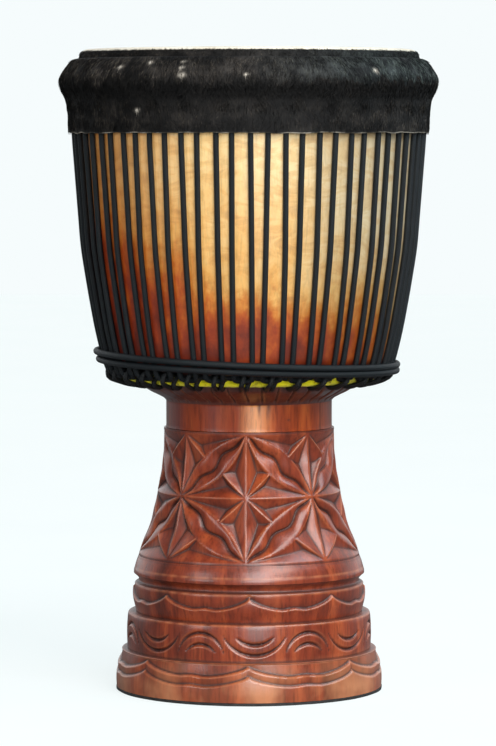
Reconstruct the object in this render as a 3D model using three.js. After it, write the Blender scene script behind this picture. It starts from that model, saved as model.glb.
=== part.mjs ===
// A full-size rope-tuned djembe: a one-piece carved goblet shell, a goatskin head turned up
// round its flesh ring and folded down outside the crown ring, two cloth-wrapped steel rings
// with cradle ropes, one zigzag tuning rope, two turns of tail rope and a rubber foot strip.
// Millimetres, +Z up, origin at the middle of the foot's underside. Angles run from -Y (the
// front) towards +X.
import * as THREE from 'three';

// Driving dimensions
const HEIGHT = 620;          // floor to playing surface
const FOOT_R = 129.6;        // outer radius of the foot
const NECK_R = 80.5;         // outer radius of the neck
const HEAD_EDGE_R = 162.7;   // outer radius of the shell at the playing edge
const ROPE = 5.2;            // tuning rope diameter
const CRADLE = 5.0;          // lower cradle rope diameter
const CROWN_CRADLE = 2.8;    // upper cradle rope diameter, squeezed flat under the hide
const HIDE = 0.9;            // goatskin thickness
const PAIRS = 32;            // rope pairs, and so hooks on each ring
const CLEAR = 0.3;           // gap kept between neighbouring pieces

const SEGMENTS = PAIRS;                   // steps round every turned piece
const PITCH = 360 / PAIRS;                // degrees from one pair to the next
const TOP_HOOK = 3.3;                     // angle of the first upper hook
const LOW_HOOK = TOP_HOOK - PITCH / 2;    // angle of the first lower hook
const TOP_SPREAD = 2.65;                  // half angle between a pair's ropes at the top
const LOW_SPREAD = 2.3;                   // half angle between a pair's ropes at the bottom

const CROWN = { r: 173.9, z: 591, bar: 3.2, sleeveIn: 3.75, sleeveOut: 4.3 };
const FLESH = { r: 167.9, z: 578, bar: 2.8 };
const BOTTOM = { r: 119, z: 305, bar: 3.0, sleeveIn: 3.5, sleeveOut: 4.0 };
const TOP_TURN = { r: 169.4, z: 563 };    // where the tuning rope turns back at the top
const LOW_TURN = { r: 131.5, z: 307.8 };  // where it turns back at the bottom

const LOW_BEND = [136.6, 311.6];          // where a leg leaves the bowl for its lower hook

const RUBBER = 2.6;                       // thickness of the foot strip

const drum = new THREE.Group();

function add(name, geometry, color, roughness, metalness = 0) {
  const material = new THREE.MeshStandardMaterial({ color, roughness, metalness });
  const mesh = new THREE.Mesh(geometry, material);
  mesh.name = name;
  drum.add(mesh);
}

// Turns a closed [r, z] outline, listed anticlockwise, about the Z axis.
function turned(outline, phase = TOP_HOOK) {
  const points = outline.map(([r, z]) => new THREE.Vector2(r, z));
  const geometry = new THREE.LatheGeometry(points, SEGMENTS, THREE.MathUtils.degToRad(phase));
  return geometry.rotateX(Math.PI / 2);
}

// A point at radius r, height z and an angle in degrees from the front.
function at(r, z, angle) {
  const a = THREE.MathUtils.degToRad(angle);
  return new THREE.Vector3(r * Math.sin(a), -r * Math.cos(a), z);
}

// A path that goes through its points in straight steps, with the mean direction at each.
class StepPath extends THREE.Curve {
  constructor(points) {
    super();
    this.points = points;
  }

  getPoint(t, target = new THREE.Vector3()) {
    const last = this.points.length - 1;
    const i = Math.min(Math.floor(t * last + 1e-9), last - 1);
    return target.lerpVectors(this.points[i], this.points[i + 1], t * last - i);
  }

  getPointAt(t, target) {
    return this.getPoint(t, target);
  }

  getTangentAt(t, target = new THREE.Vector3()) {
    const last = this.points.length - 1;
    const i = Math.round(t * last);
    const here = this.points[i];
    target.set(0, 0, 0);
    if (i > 0) target.add(here.clone().sub(this.points[i - 1]).normalize());
    if (i < last) target.add(this.points[i + 1].clone().sub(here).normalize());
    return target.normalize();
  }
}

// A rope of the given diameter through the points, with its two ends closed.
function rope(points, diameter, sides) {
  const section = new THREE.Shape();
  for (let i = 0; i < sides; i++) {
    const a = (2 * Math.PI * i) / sides;
    const x = (diameter / 2) * Math.cos(a);
    const y = (diameter / 2) * Math.sin(a);
    if (i === 0) section.moveTo(x, y);
    else section.lineTo(x, y);
  }
  section.closePath();
  const extrudePath = new StepPath(points);
  return new THREE.ExtrudeGeometry(section, { steps: points.length - 1, extrudePath });
}

// [r, z] points on an arc about a centre, from one angle to another, both included.
function arc(centre, radius, from, to, steps) {
  return Array.from({ length: steps + 1 }, (_, i) => {
    const a = THREE.MathUtils.degToRad(from + ((to - from) * i) / steps);
    return [centre.r + radius * Math.cos(a), centre.z + radius * Math.sin(a)];
  });
}

// A steel ring of round bar.
function barRing(ring, phase) {
  return turned(arc(ring, ring.bar, 0, 300, 5).concat([arc(ring, ring.bar, 0, 0, 1)[0]]), phase);
}

// The cloth wound on a ring: a sleeve with its seam open on the side facing the shell.
function sleeve(ring, phase) {
  const outside = arc(ring, ring.sleeveOut, -165, 165, 6);
  const inside = arc(ring, ring.sleeveIn, 165, -165, 6);
  return turned([...outside, ...inside, outside[0]], phase);
}

// The shell's outer outline, foot to playing edge.
const BOWL = [
  [119, 316.4], [130, 317.4], [137.7, 323.5], [142.9, 344],
  [151.2, 388], [157.9, 432], [164.7, 519], [166.2, 540],
];
const STEM = [
  [129.3, RUBBER + CLEAR], [128.6, 16], [126, 31], [123.8, 39], [118, 39.6],
  [117.8, 74.5], [109, 75.3], [113.3, 93], [111.2, 103.2],
  [107.2, 106.5], [112.2, 114], [107.3, 130.5], [98.5, 155],
  [88.8, 194], [83.4, 228], [82.6, 254.5], [NECK_R, 255.3], [NECK_R, 281],
];
const UNDERSIDE = [[83, 284], [102.5, 294.3], [105.6, 299], [110.5, 314]];
const RIM = [[163.2, 547], [HEAD_EDGE_R, 605], [160.5, 615], [156.5, 618.6]];
const INSIDE = [
  [151.5, 616.5], [148, 600], [151, 520], [145, 432], [133, 360], [98, 322],
  [60, 288], [60, 255], [78, 130], [114, RUBBER + CLEAR],
];

function shell() {
  const outline = [...STEM, ...UNDERSIDE, ...BOWL, ...RIM, ...INSIDE];
  return turned([...outline, outline[0]]);
}

// The middle line of the skin, from the centre of the head to the hem of the collar: down the
// shell, under and round the flesh ring, up inside the crown ring, over it and down outside.
function skinLine() {
  const wrap = arc(FLESH, FLESH.bar + 0.5 + HIDE / 2, 180, 450, 6);
  return [
    [0, HEIGHT - HIDE / 2], [157, HEIGHT - HIDE / 2], [163.2, 613.5],
    ...wrap, [165.4, 586], [165.5, 606], [167.6, 610.3],
    [177.6, 602.6], [182, 596.4], [182.8, 589.5], [178, 576],
    [176.1, 565], [174.2, 540],
  ];
}

// Sets a line of [r, z] points off to one side by the given distance.
function offset(line, distance) {
  return line.map(([r, z], i) => {
    const [r0, z0] = line[Math.max(i - 1, 0)];
    const [r1, z1] = line[Math.min(i + 1, line.length - 1)];
    const length = Math.hypot(r1 - r0, z1 - z0);
    return [r - (distance * (z1 - z0)) / length, z + (distance * (r1 - r0)) / length];
  });
}

function hide() {
  const line = skinLine();
  const hairSide = offset(line, HIDE / 2);
  const fleshSide = offset(line, -HIDE / 2);
  hairSide[0][0] = 0;
  fleshSide[0][0] = 0;
  return turned([...fleshSide, ...hairSide.reverse()]);
}

// The upper cradle rope: at each hook it comes up inside the crown ring and over it, down past
// the flesh ring, round the tuning rope's turn, and back up and over to the next hook.
function crownLoops() {
  const over = arc(CROWN, 6.6, 180, 0, 3);
  const { r, z } = TOP_TURN;
  const hook = [
    [r + 4.7, z + 14], [r + 4.6, z + 4], [r + 3.6, z - 4.3], [r - 4, z - 4.2],
    [r - 4.3, z + 3.2], [r + 0.6, z + 5.6], [r + 4.7, z + 14],
  ];
  const points = [];
  for (let k = 0; k < PAIRS; k++) {
    const middle = TOP_HOOK + 180 + PITCH * k;
    const up = [[171.2, 584, -2.6], ...over.map(([a, b]) => [a, b, -0.65])];
    const round = hook.map(([a, b], i) => [a, b, -0.65 + (1.3 * i) / (hook.length - 1)]);
    const back = [...up].reverse().map(([a, b, angle]) => [a, b, -angle]);
    for (const [a, b, angle] of [...up, ...round, ...back]) {
      points.push(at(a, b, middle + angle));
    }
  }
  return rope(points, CROWN_CRADLE, 3);
}

// The lower cradle rope: at each hook one turn takes in the ring and the tuning rope's turn,
// and a second turn takes in the ring alone, before it runs along the ring to the next hook.
function bottomLoops() {
  const around = [[118, 312.4], [112.1, 308.4], [112.1, 301.6], [118.2, 297.6]];
  const reach = [[135, 303.2, -0.7], [137.6, 308, 0], [134.5, 313.2, 0.7]];
  const side = 1.3;
  const points = [];
  for (let k = 0; k < PAIRS; k++) {
    const middle = LOW_HOOK + 180 + PITCH * k;
    const hitch = [
      [125.3, 309.4, -3.5], ...around.map(([a, b]) => [a, b, -side]), ...reach,
      ...around.map(([a, b]) => [a, b, side]), [126.2, 302, side + 0.3], [125.3, 309.4, 3.5],
    ];
    for (const [a, b, angle] of hitch) points.push(at(a, b, middle + angle));
  }
  return rope(points, CRADLE, 4);
}

// Radius of the tuning rope's middle where it lies on the bowl at height z.
function lyingRadius(z) {
  const i = Math.max(1, BOWL.findIndex(([, height]) => height >= z));
  const [r0, z0] = BOWL[i - 1];
  const [r1, z1] = BOWL[i];
  return r0 + ((r1 - r0) * (z - z0)) / (z1 - z0) + ROPE / 2 + CLEAR;
}

// One leg of the tuning rope, bottom to top, at the given side of its pair.
function leg(pair, side) {
  const heights = [326, 375, 450, 538];
  const rise = heights[heights.length - 1] - heights[0];
  return heights.map((z) => {
    const share = (z - heights[0]) / rise;
    const spread = LOW_SPREAD + (TOP_SPREAD - LOW_SPREAD) * share;
    return at(lyingRadius(z), z, pair + side * spread);
  });
}

// The tuning rope: up one leg of each pair, round its upper hook, down the other leg, and
// across to the next pair through the lower hook between them.
function tuningRope() {
  const { r, z } = TOP_TURN;
  const points = [at(LOW_TURN.r, LOW_TURN.z, LOW_HOOK + 180 + 0.7)];
  for (let k = 0; k < PAIRS; k++) {
    const pair = TOP_HOOK + 180 + PITCH * k;
    const next = pair + PITCH / 2;
    points.push(at(LOW_TURN.r, LOW_TURN.z, pair - PITCH / 2 + 2.5));
    points.push(at(...LOW_BEND, pair - PITCH / 2 + 3.5));
    points.push(...leg(pair, -1));
    points.push(at(r, z - 3.2, pair - 2.5), at(r, z, pair - 1.5));
    points.push(at(r, z, pair + 1.5), at(r, z - 3.2, pair + 2.5));
    points.push(...leg(pair, 1).reverse());
    points.push(at(...LOW_BEND, next - 3.5), at(LOW_TURN.r, LOW_TURN.z, next - 2.5));
  }
  points.push(at(LOW_TURN.r, LOW_TURN.z, LOW_HOOK + 180 - 0.7));
  return rope(points, ROPE, 4);
}

// The spare tuning rope: two turns round the bowl over the legs, starting and ending behind.
function tailRope() {
  const points = [];
  for (let angle = 184; angle <= 884; angle += 10) {
    const a = THREE.MathUtils.degToRad(Math.min(angle <= 540 ? angle : angle - 360, 450));
    const z = angle <= 540 ? 322.5 - 6.5 * Math.sin(a) : 316 - 5.5 * Math.sin(a);
    const r = Math.max(LOW_BEND[0] + 0.33 * (z - LOW_BEND[1]) + ROPE + 2 * CLEAR, 143.4);
    points.push(at(r, z, angle));
  }
  return rope(points, ROPE, 4);
}

// The knot on the end of the spare rope: an overhand knot drawn up behind the bowl.
function tailKnot() {
  const size = 3.4;
  const steps = 22;
  const start = 0.25;
  const points = Array.from({ length: steps + 1 }, (_, i) => {
    const t = start + ((2 * Math.PI - 2 * start) * i) / steps;
    const x = size * (Math.sin(t) + 2 * Math.sin(2 * t));
    const z = size * (Math.cos(t) - 2 * Math.cos(2 * t));
    return new THREE.Vector3(x, 157 - 2.9 * Math.sin(3 * t), 316 + z);
  });
  return rope(points, ROPE * 0.85, 5);
}

function footStrip() {
  const corners = [[118, 0], [FOOT_R, 0], [FOOT_R, RUBBER], [118, RUBBER], [118, 0]];
  return turned(corners);
}

add('shell', shell(), 0xb5642c, 0.45);
add('hide', hide(), 0x1f1b1a, 0.9);
add('flesh_ring', barRing(FLESH, TOP_HOOK), 0x6d6f70, 0.4, 1);
add('crown_ring', barRing(CROWN, TOP_HOOK), 0x6d6f70, 0.4, 1);
add('crown_ring_wrap', sleeve(CROWN, TOP_HOOK), 0xd3c834, 0.95);
add('crown_loops', crownLoops(), 0x1a1e20, 0.8);
add('tuning_rope', tuningRope(), 0x23292b, 0.75);
add('tail_rope', tailRope(), 0x23292b, 0.75);
add('tail_knot', tailKnot(), 0x23292b, 0.75);
add('bottom_loops', bottomLoops(), 0x1a1e20, 0.8);
add('bottom_ring', barRing(BOTTOM, LOW_HOOK), 0x6d6f70, 0.4, 1);
add('bottom_ring_wrap', sleeve(BOTTOM, LOW_HOOK), 0xd3c834, 0.95);
add('foot_strip', footStrip(), 0x141414, 0.85);

export default drum;
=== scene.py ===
import math

import bmesh
import bpy
import numpy as np
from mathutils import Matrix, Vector


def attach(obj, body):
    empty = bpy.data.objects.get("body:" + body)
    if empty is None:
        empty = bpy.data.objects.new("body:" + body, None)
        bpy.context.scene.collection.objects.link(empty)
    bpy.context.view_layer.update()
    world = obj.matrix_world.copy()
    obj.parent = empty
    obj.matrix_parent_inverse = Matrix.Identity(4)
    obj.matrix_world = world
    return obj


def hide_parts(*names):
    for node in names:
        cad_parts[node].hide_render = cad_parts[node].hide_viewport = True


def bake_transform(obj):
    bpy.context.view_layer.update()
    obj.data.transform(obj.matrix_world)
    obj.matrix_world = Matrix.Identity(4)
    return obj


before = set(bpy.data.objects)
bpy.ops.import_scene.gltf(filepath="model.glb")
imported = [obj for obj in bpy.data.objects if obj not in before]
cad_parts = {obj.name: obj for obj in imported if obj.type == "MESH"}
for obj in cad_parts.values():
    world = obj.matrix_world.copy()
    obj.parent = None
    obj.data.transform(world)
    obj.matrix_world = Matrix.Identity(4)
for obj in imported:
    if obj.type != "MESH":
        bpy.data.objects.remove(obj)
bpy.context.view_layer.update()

# ---------------------------------------------------------------------------------------------
# The studio: the drum stands on a seamless pale floor in a white room. The main light is big,
# soft and high on the right; windows in front, on the left, overhead and low down fill it. The
# lens is long and level with the top of the bowl, so the foot is seen from slightly above.
# ---------------------------------------------------------------------------------------------


def paint(red, green, blue):
    """A colour given as 0-255 screen values, as the linear RGBA that a shader takes."""
    def linear(value):
        value /= 255
        return value / 12.92 if value <= 0.04045 else ((value + 0.055) / 1.055) ** 2.4
    return (linear(red), linear(green), linear(blue), 1.0)


def new_material(name):
    """An empty node material, with its nodes, its links and its Principled shader."""
    material = bpy.data.materials.new(name)
    material.use_nodes = True
    nodes, links = material.node_tree.nodes, material.node_tree.links
    return material, nodes, links, nodes["Principled BSDF"]


def node(nodes, kind, **settings):
    """A shader node of a kind. Settings are its own properties, or sockets by name."""
    made = nodes.new(kind)
    for key, value in settings.items():
        if hasattr(made, key):
            setattr(made, key, value)
        else:
            made.inputs[key.replace("_", " ")].default_value = value
    return made


def noise(nodes, links, coordinate, stretch, scale, detail=3.0, roughness=0.55, distortion=0.0):
    """Noise on a coordinate stretched along its axes. Returns the 0-1 value socket."""
    mapping = node(nodes, "ShaderNodeMapping")
    mapping.inputs["Scale"].default_value = stretch
    links.new(coordinate, mapping.inputs["Vector"])
    texture = node(nodes, "ShaderNodeTexNoise", Scale=scale, Detail=detail, Roughness=roughness,
                   Distortion=distortion)
    links.new(mapping.outputs["Vector"], texture.inputs["Vector"])
    return texture.outputs["Fac"]


def ramp(nodes, links, value, stops):
    """A colour ramp on a value. Stops are (position, colour or grey level)."""
    made = node(nodes, "ShaderNodeValToRGB")
    elements = made.color_ramp.elements
    while len(elements) < len(stops):
        elements.new(0.5)
    for element, (position, colour) in zip(elements, stops):
        element.position = position
        element.color = colour if hasattr(colour, "__len__") else (colour, colour, colour, 1)
    links.new(value, made.inputs["Fac"])
    return made.outputs["Color"]


def maths(nodes, links, operation, first, second=None, third=None, clamp=False):
    """A Math node on sockets or numbers."""
    made = node(nodes, "ShaderNodeMath", operation=operation, use_clamp=clamp)
    for socket, value in zip(made.inputs, (first, second, third)):
        if value is None:
            continue
        if hasattr(value, "links"):
            links.new(value, socket)
        else:
            socket.default_value = value
    return made.outputs["Value"]


EYE = Vector((0.0, -3.69, 0.540))
LOOK_AT = Vector((-0.001, 0.0, 0.307))
camera_data = bpy.data.cameras.new("camera")
camera_data.sensor_width = 36
camera_data.lens = 183.6
camera = bpy.data.objects.new("camera", camera_data)
camera.location = EYE
camera.rotation_euler = (LOOK_AT - EYE).to_track_quat("-Z", "Y").to_euler()
bpy.context.collection.objects.link(camera)
bpy.context.scene.camera = camera
bpy.context.scene.view_settings.view_transform = "Standard"

room = bpy.data.worlds.new("white_room")
room.use_nodes = True
nodes, links = room.node_tree.nodes, room.node_tree.links
seen = nodes["Background"]
seen.inputs["Color"].default_value = paint(246, 252, 253)
facing = node(nodes, "ShaderNodeSeparateXYZ")
links.new(node(nodes, "ShaderNodeTexCoord").outputs["Generated"], facing.inputs["Vector"])
lit = node(nodes, "ShaderNodeBackground")
links.new(ramp(nodes, links, maths(nodes, links, "MULTIPLY_ADD", facing.outputs["Y"], 0.5, 0.5),
               [(0.0, (0.20, 0.21, 0.22, 1)), (0.30, (0.10, 0.11, 0.12, 1)),
                (0.62, (0.16, 0.18, 0.19, 1)), (0.76, (0.85, 0.92, 0.96, 1)),
                (1.0, (0.95, 0.98, 1.0, 1))]),
          lit.inputs["Color"])
either = node(nodes, "ShaderNodeMixShader")
links.new(node(nodes, "ShaderNodeLightPath").outputs["Is Camera Ray"], either.inputs["Fac"])
links.new(lit.outputs["Background"], either.inputs[1])
links.new(seen.outputs["Background"], either.inputs[2])
links.new(either.outputs["Shader"], nodes["World Output"].inputs["Surface"])
bpy.context.scene.world = room


def aimed(name, kind, place, aim, power, **settings):
    """A light of a kind at a place, turned to face its aim."""
    light = bpy.data.lights.new(name, kind)
    light.energy = power
    for key, value in settings.items():
        setattr(light, key, value)
    lamp = bpy.data.objects.new(name, light)
    lamp.location = place
    lamp.rotation_euler = (Vector(aim) - Vector(place)).to_track_quat("-Z", "Y").to_euler()
    bpy.context.collection.objects.link(lamp)


aimed("key", "SUN", (1.3, -2.0, 2.3), (0, 0, 0.3), 2.0, angle=math.radians(34),
      color=(1.0, 0.985, 0.96))
aimed("front_window", "AREA", (0.55, -3.3, 1.25), (0, 0, 0.28), 62, size=1.5)
aimed("left_window", "AREA", (-2.5, -2.3, 1.0), (0, 0, 0.35), 22, size=1.2)
aimed("high_window", "AREA", (2.0, -0.5, 2.2), (0, 0, 0.5), 36, size=1.4,
      color=(0.70, 0.88, 1.0))
aimed("low_window", "AREA", (0.35, -2.6, 0.16), (0, 0, 0.25), 10, size=0.9)

floor_mesh = bpy.data.meshes.new("floor")
floor_mesh.from_pydata([(-9, -9, 0), (9, -9, 0), (9, 9, 0), (-9, 9, 0)], [], [(0, 1, 2, 3)])
floor = bpy.data.objects.new("floor", floor_mesh)
bpy.context.collection.objects.link(floor)
floor_paper, nodes, links, shader = new_material("floor_paper")
where = node(nodes, "ShaderNodeTexCoord").outputs["Object"]
links.new(ramp(nodes, links, noise(nodes, links, where, (1, 1, 1), 3),
               [(0.3, paint(112, 114, 115)), (0.7, paint(117, 119, 120))]),
          shader.inputs["Base Color"])
shader.inputs["Roughness"].default_value = 0.9
shader.inputs["Specular IOR Level"].default_value = 0.1
shader.inputs["Emission Color"].default_value = (0.93, 1.0, 1.0, 1)
links.new(ramp(nodes, links, node(nodes, "ShaderNodeLightPath").outputs["Is Camera Ray"],
               [(0.0, 0.0), (1.0, 0.81)]), shader.inputs["Emission Strength"])
floor_mesh.materials.append(floor_paper)

# ---------------------------------------------------------------------------------------------
# The shell is one carved log. Its bowl and neck are turned smooth on the outside and hollowed
# inside. The underside of the bowl has shallow radial flutes that run in to the neck, and it is
# cut back where the bottom ring's ropes pass. Only the playing edge is rounded fine.
# ---------------------------------------------------------------------------------------------
MM = 0.001


def smooth_line(points, step=3.0):
    """Points about a step apart on a curve through the given ones. Each stretch is the cubic
    whose slope at a point is half the vector between its two neighbours."""
    points = np.array(points, float)
    before = np.vstack([2 * points[0] - points[1], points, 2 * points[-1] - points[-2]])
    stretches = []
    for a, b, c, d in zip(before, before[1:], before[2:], before[3:]):
        count = max(2, int(np.ceil(np.linalg.norm(c - b) / step)))
        t = (np.arange(count) / count)[:, None]
        slope_b, slope_c = (c - a) / 2, (d - b) / 2
        stretches.append((2 * t**3 - 3 * t**2 + 1) * b + (t**3 - 2 * t**2 + t) * slope_b
                         + (3 * t**2 - 2 * t**3) * c + (t**3 - t**2) * slope_c)
    return np.vstack(stretches + [points[-1:]])


def outline_of(*runs):
    """Runs of outline put end to end round one closed loop. A corner is where two meet."""
    return np.vstack([run[:-1] for run in runs])


def add_piece(name, material, mesh):
    """An object for a finished mesh, at the origin, with its material."""
    piece = bpy.data.objects.new(name, mesh)
    bpy.context.collection.objects.link(piece)
    mesh.materials.append(material)
    return piece


def woven_mesh(name, points, closed=(True, True), crease=None, uv=None):
    """A mesh of quads over an (n, m, 3) grid of points in millimetres, facing the side where
    columns cross rows. closed says whether rows and columns join up at their ends. uv is one
    value for each line of rows and one for each line of columns, ends included."""
    rows, columns = points.shape[:2]
    i = np.arange(rows if closed[0] else rows - 1)
    j = np.arange(columns if closed[1] else columns - 1)
    i, j = np.meshgrid(i, j, indexing="ij")
    row = np.stack([i, i, i + 1, i + 1], axis=-1).ravel()
    column = np.stack([j, j + 1, j + 1, j], axis=-1).ravel()
    mesh = bpy.data.meshes.new(name)
    mesh.vertices.add(rows * columns)
    mesh.vertices.foreach_set("co", (points * MM).astype(np.float32).ravel())
    mesh.loops.add(row.size)
    corners = (row % rows) * columns + column % columns
    mesh.loops.foreach_set("vertex_index", corners.astype(np.int32))
    mesh.polygons.add(i.size)
    mesh.polygons.foreach_set("loop_start", np.arange(0, row.size, 4, dtype=np.int32))
    mesh.polygons.foreach_set("use_smooth", np.ones(i.size, bool))
    if uv is not None:
        layer = mesh.uv_layers.new(name="UVMap")
        places = np.stack([uv[0][row], uv[1][column]], axis=-1)
        layer.data.foreach_set("uv", places.astype(np.float32).ravel())
    mesh.update(calc_edges=True)
    if crease is not None:
        mesh.set_sharp_from_angle(angle=math.radians(crease))
    return mesh


def about_axis(radius, height, angle):
    """Points at a radius and height, at an angle in degrees from the front (-Y) towards +X."""
    a = np.radians(angle)
    radius, height, a = np.broadcast_arrays(radius, height, a)
    return np.stack([radius * np.sin(a), -radius * np.cos(a), height], axis=-1)


def marks(mesh, worn_and_lit, dark):
    """Stores two 0-1 values at each vertex, which the wood's material reads: how far an edge is
    painted pale, partly as wear and partly as painted highlight, and how far a place is painted
    dark, partly as stain and partly as painted shade in hollows."""
    colours = np.zeros((worn_and_lit.size, 4), np.float32)
    colours[:, 0] = worn_and_lit.ravel()
    colours[:, 1] = dark.ravel()
    colours[:, 3] = 1
    attribute = mesh.color_attributes.new("carving", "FLOAT_COLOR", "POINT")
    attribute.data.foreach_set("color", colours.ravel())


def spread(values, reach):
    """Each value averaged with its neighbours up to reach rows and columns away. Columns close
    on themselves, and the end rows repeat."""
    total = np.zeros_like(values)
    for shift in range(-reach, reach + 1):
        total += np.roll(values, shift, axis=1)
    padded = np.pad(total, ((reach, reach), (0, 0)), mode="edge")
    rows = len(values)
    return sum(padded[s:s + rows] for s in range(2 * reach + 1)) / (2 * reach + 1) ** 2


NECK_TOP, NECK_FOOT, NECK_R = 281.0, 255.35, 80.5
FLUTES = 40

bowl_outline = outline_of(
    smooth_line([(NECK_R + 0.4, NECK_FOOT), (NECK_R, 258), (NECK_R, NECK_TOP)], 1.5),
    smooth_line([(NECK_R, NECK_TOP), (83, 283.6), (88, 286.4), (95.5, 290), (102.5, 294.2)], 1.5),
    smooth_line([(102.5, 294.2), (105.6, 299.4), (107.4, 306), (110.6, 312.9), (118, 316.4),
                 (126, 317), (132.5, 319), (137.4, 323.5), (140.5, 333), (142.9, 344),
                 (145.8, 359), (151.2, 388), (157.9, 432), (161.8, 475), (164.7, 519),
                 (166.2, 540)], 4),
    smooth_line([(166.2, 540), (164, 545), (163.1, 550), (162.7, 575), (162.7, 604)], 6),
    smooth_line([(162.7, 604), (162.3, 611), (160.5, 615.2), (156.5, 618.4), (152.8, 617.6),
                 (149.6, 612), (148, 600)], 2.5),
    smooth_line([(148, 600), (150.5, 560), (151, 520), (145, 432), (133, 360), (120, 338),
                 (98, 320), (75, 302), (63, 290), (60, 276), (60, NECK_FOOT)], 9),
    np.array([(60, NECK_FOOT), (70, NECK_FOOT), (NECK_R + 0.4, NECK_FOOT)]),
)
bowl_angle = np.linspace(0, 360, 480, endpoint=False)
radius, height = (bowl_outline[:, k, None] for k in (0, 1))
fluted = np.clip((height - 281.5) / 3, 0, 1) * np.clip((110 - radius) / 6, 0, 1)
fluted = fluted * (radius > NECK_R + 0.2) * (height < 320)
sweep = np.mod((bowl_angle + 0.1 * (radius - NECK_R)) * FLUTES / 360, 1)
nearest = np.minimum(sweep, 1 - sweep) * (360 / FLUTES) * np.radians(1) * radius
groove = np.exp(-(nearest / 1.0) ** 2)
cut = fluted * (1.5 * groove + 0.9 * sweep)
bowl_mesh = woven_mesh("wood_bowl", about_axis(radius - 0.45 * cut, height + 0.9 * cut, bowl_angle),
                       crease=40)

# Stain that ran down the neck from the flutes: angle, lowest height, half width and strength.
RUNS = ((7, 266, 1.0, 0.9), (13.6, 267, 1.3, 0.8), (58, 240, 1.0, 0.7), (352, 275, 2.0, 0.5),
        (10, 277, 6.0, 0.45))
KNOT_ANGLE, KNOT_HEIGHT, KNOT_R = 28, 266.5, 1.6
on_neck = (height < NECK_TOP + 0.5) & (radius > NECK_R - 1)
stains = 0
for middle, lowest, half_width, strength in RUNS:
    fall = np.clip((height - lowest) / 12, 0, 1)
    stains = stains + strength * fall * np.exp(-((bowl_angle - middle) / half_width) ** 2)
from_knot = np.hypot((bowl_angle - KNOT_ANGLE) * np.radians(1) * NECK_R,
                     1.4 * (height - KNOT_HEIGHT))
stains = on_neck * np.clip(stains + 0.9 * np.exp(-(from_knot / KNOT_R) ** 2), 0, 1)
# The flute grooves are painted dark, partly as stain and partly as painted shade, and lines beside
# them pale, partly as wear and partly as painted highlight; the runs and the knot are stain.
marks(bowl_mesh, fluted * np.exp(-((nearest - 1.8) / 0.8) ** 2) * 0.3, fluted * groove + stains)


def blend_colours(nodes, links, share, first, second, mode="MIX"):
    """A Mix node between two colours or colour sockets, by a share socket or number."""
    made = node(nodes, "ShaderNodeMix", data_type="RGBA", blend_type=mode)
    for socket, value in zip((made.inputs[0], made.inputs[6], made.inputs[7]),
                             (share, first, second)):
        if hasattr(value, "links"):
            links.new(value, socket)
        else:
            socket.default_value = value
    return made.outputs[2]


def relief(nodes, links, shader, height, distance, strength=1.0):
    """A Bump node on the shader's normal. The distance is what a height of 1 stands out, in
    metres."""
    bump = node(nodes, "ShaderNodeBump", Strength=strength, Distance=distance)
    links.new(height, bump.inputs["Height"])
    links.new(bump.outputs["Normal"], shader.inputs["Normal"])


def slide(nodes, links, value, start, end, first, last):
    """A Map Range node: first up to a value of start, last from end on, and even between."""
    made = node(nodes, "ShaderNodeMapRange", clamp=True)
    links.new(value, made.inputs["Value"])
    for key, number in (("From Min", start), ("From Max", end), ("To Min", first),
                        ("To Max", last)):
        made.inputs[key].default_value = number
    return made.outputs["Result"]


# The wood: pale golden and barely stained on the bowl, running into red-brown towards its foot,
# orange on the neck, and red mahogany varnish on the carved stem and foot. The tide line of the
# stain is ragged, and it climbs higher on the left.
wood, nodes, links, shader = new_material("oiled_wood")
where = node(nodes, "ShaderNodeTexCoord").outputs["Object"]
place = node(nodes, "ShaderNodeSeparateXYZ")
links.new(where, place.inputs["Vector"])
carving = node(nodes, "ShaderNodeSeparateColor")
links.new(node(nodes, "ShaderNodeAttribute", attribute_name="carving").outputs["Color"],
          carving.inputs["Color"])
worn_and_lit, dark = carving.outputs["Red"], carving.outputs["Green"]

fibres = noise(nodes, links, where, (1, 1, 0.09), 420, 4, 0.65)
streaks = noise(nodes, links, where, (1, 1, 0.06), 46, 4, 0.6, 0.4)
blotches = noise(nodes, links, where, (1, 1, 0.7), 15, 4, 0.6)
ragged = noise(nodes, links, where, (1, 1, 0.45), 60, 6, 0.75)
figure = noise(nodes, links, where, (1, 1, 2.2), 26, 5, 0.65, 1.6)

BOWL_R = 0.165
tide = slide(nodes, links, place.outputs["X"], -BOWL_R, BOWL_R, 0.404, 0.306)
above = maths(nodes, links, "SUBTRACT", place.outputs["Z"], tide)
above = maths(nodes, links, "ADD", above,
              maths(nodes, links, "MULTIPLY", maths(nodes, links, "SUBTRACT", blotches, 0.5), 0.17))
above = maths(nodes, links, "ADD", above,
              maths(nodes, links, "MULTIPLY", maths(nodes, links, "SUBTRACT", ragged, 0.5), 0.11))
tone = maths(nodes, links, "MULTIPLY_ADD", above, 4.8, 0.17, clamp=True)
bowl_colour = ramp(nodes, links, tone, [
    (0.00, paint(112, 36, 10)), (0.12, paint(156, 60, 14)), (0.22, paint(190, 94, 24)),
    (0.32, paint(214, 140, 58)), (0.46, paint(236, 188, 112)), (0.85, paint(252, 226, 172))])
cream_streak = ramp(nodes, links, figure, [(0.30, paint(196, 146, 84)),
                                           (0.46, paint(240, 214, 170)),
                                           (0.56, paint(255, 252, 244))])
bowl_colour = blend_colours(nodes, links, 0.5, bowl_colour, cream_streak, "MULTIPLY")
# Across the bowl its colour is multiplied darker and warmer to the left and darker and bluish to
# the right: painted shade on both sides.
across = slide(nodes, links, place.outputs["X"], -BOWL_R, BOWL_R, 0.0, 1.0)
bowl_colour = blend_colours(nodes, links, 1.0, bowl_colour,
                            ramp(nodes, links, across, [
                                (0.05, paint(226, 178, 134)), (0.36, paint(255, 244, 224)),
                                (0.60, paint(255, 252, 248)), (0.72, paint(212, 214, 222)),
                                (0.95, paint(188, 196, 216))]),
                            "MULTIPLY")

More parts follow.
